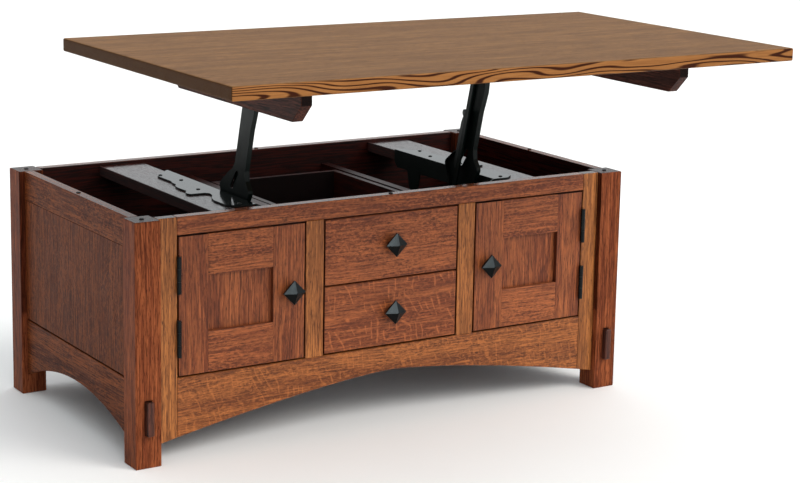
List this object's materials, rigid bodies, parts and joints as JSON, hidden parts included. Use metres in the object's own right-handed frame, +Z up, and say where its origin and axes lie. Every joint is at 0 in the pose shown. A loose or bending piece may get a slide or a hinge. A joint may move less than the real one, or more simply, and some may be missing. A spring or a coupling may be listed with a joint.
{
  "type": "lift top coffee table",
  "caption": "Mission-style oak coffee table whose top lifts up and forward on steel parallelogram arms, with doors and drawers below.",
  "frame": {"origin": "on the floor, under the middle of the whole object with its top raised", "axes": "+X along the table's length, +Y towards its back, +Z up"},
  "size_m": [1.219, 1.086, 0.794],
  "materials": {
    "oak": "stained quarter-sawn oak, satin lacquer",
    "red_oak": "stained quarter-sawn oak, satin lacquer",
    "end_oak": "stained quarter-sawn oak, satin lacquer",
    "top_oak": "stained oak, semi-gloss lacquer",
    "inner_oak": "dark stained oak, satin",
    "dark_wood": "near-black stained hardwood, satin",
    "bronze": "oil-rubbed bronze",
    "black_steel": "black powder-coated steel",
    "spring_steel": "black oiled spring wire"
  },
  "bodies": {
    "cabinet": {"back_arch_rail": "end_oak", "back_panel": "end_oak", "base_bracket_left": "black_steel", "base_bracket_right": "black_steel", "cabinet_floor": "inner_oak", "end_arch_rail_left": "end_oak", "end_arch_rail_right": "end_oak", "end_panel_left": "end_oak", "end_panel_right": "end_oak", "front_arch_rail": "oak", "front_inner_stile_left": "oak", "front_inner_stile_right": "oak", "front_outer_stile_left": "oak", "front_outer_stile_right": "oak", "front_top_rail": "oak", "hinge_frame_left_lower": "bronze", "hinge_frame_left_upper": "bronze", "hinge_frame_right_lower": "bronze", "hinge_frame_right_upper": "bronze", "leg_back_left": "oak", "leg_back_right": "oak", "leg_front_left": "oak", "leg_front_right": "oak", "lift_spring_left": "spring_steel", "lift_spring_right": "spring_steel", "partition_left": "inner_oak", "partition_right": "inner_oak", "pivot_bolt_left": "black_steel", "pivot_bolt_right": "black_steel", "support_board_left": "inner_oak", "support_board_right": "inner_oak", "tenon_back_left": "dark_wood", "tenon_back_right": "dark_wood", "tenon_front_left": "dark_wood", "tenon_front_right": "dark_wood"},
    "left_door": {"door_frame_left": "red_oak", "door_knob_left": "bronze", "door_panel_left": "red_oak", "hinge_door_left_lower": "bronze", "hinge_door_left_upper": "bronze"},
    "right_door": {"door_frame_right": "red_oak", "door_knob_right": "bronze", "door_panel_right": "red_oak", "hinge_door_right_lower": "bronze", "hinge_door_right_upper": "bronze"},
    "upper_drawer": {"upper_drawer_box": "inner_oak", "upper_drawer_front": "red_oak", "upper_drawer_knob": "bronze"},
    "lower_drawer": {"lower_drawer_box": "inner_oak", "lower_drawer_front": "red_oak", "lower_drawer_knob": "bronze"},
    "lift_arms": {"lift_arm_left": "black_steel", "lift_arm_right": "black_steel"},
    "level_links": {"level_link_left": "black_steel", "level_link_right": "black_steel"},
    "top": {"table_top": "top_oak", "top_bracket_left": "black_steel", "top_bracket_right": "black_steel", "top_cleat_left": "dark_wood", "top_cleat_right": "dark_wood"}
  },
  "joints": [
    {"name": "lift_swing", "type": "hinge", "parent": "cabinet", "child": "lift_arms", "pos_m": [0, 0.09327, 0.41812], "axis": [-1, 0, 0], "range_deg": [0, 97.8]},
    {"name": "top_levelling", "type": "hinge", "parent": "lift_arms", "child": "top", "pos_m": [0, 0.0077, 0.749], "axis": [-1, 0, 0], "range_deg": [-97.8, 0]},
    {"name": "link_swing", "type": "hinge", "parent": "cabinet", "child": "level_links", "pos_m": [0, 0.1073, 0.40852], "axis": [-1, 0, 0], "range_deg": [0, 97.8]},
    {"name": "left_door_swing", "type": "hinge", "parent": "cabinet", "child": "left_door", "pos_m": [-0.47425, -0.074, 0.3025], "axis": [0, 0, -1], "range_deg": [0, 105]},
    {"name": "right_door_swing", "type": "hinge", "parent": "cabinet", "child": "right_door", "pos_m": [0.47425, -0.074, 0.3025], "axis": [0, 0, 1], "range_deg": [0, 105]},
    {"name": "upper_drawer_slide", "type": "slide", "parent": "cabinet", "child": "upper_drawer", "axis": [0, -1, 0], "range_m": [0, 0.3]},
    {"name": "lower_drawer_slide", "type": "slide", "parent": "cabinet", "child": "lower_drawer", "axis": [0, -1, 0], "range_m": [0, 0.3]}
  ],
  "couplings": [
    {"joint": "top_levelling", "follows": "lift_swing", "ratio": -1},
    {"joint": "link_swing", "follows": "lift_swing", "ratio": 1}
  ]
}
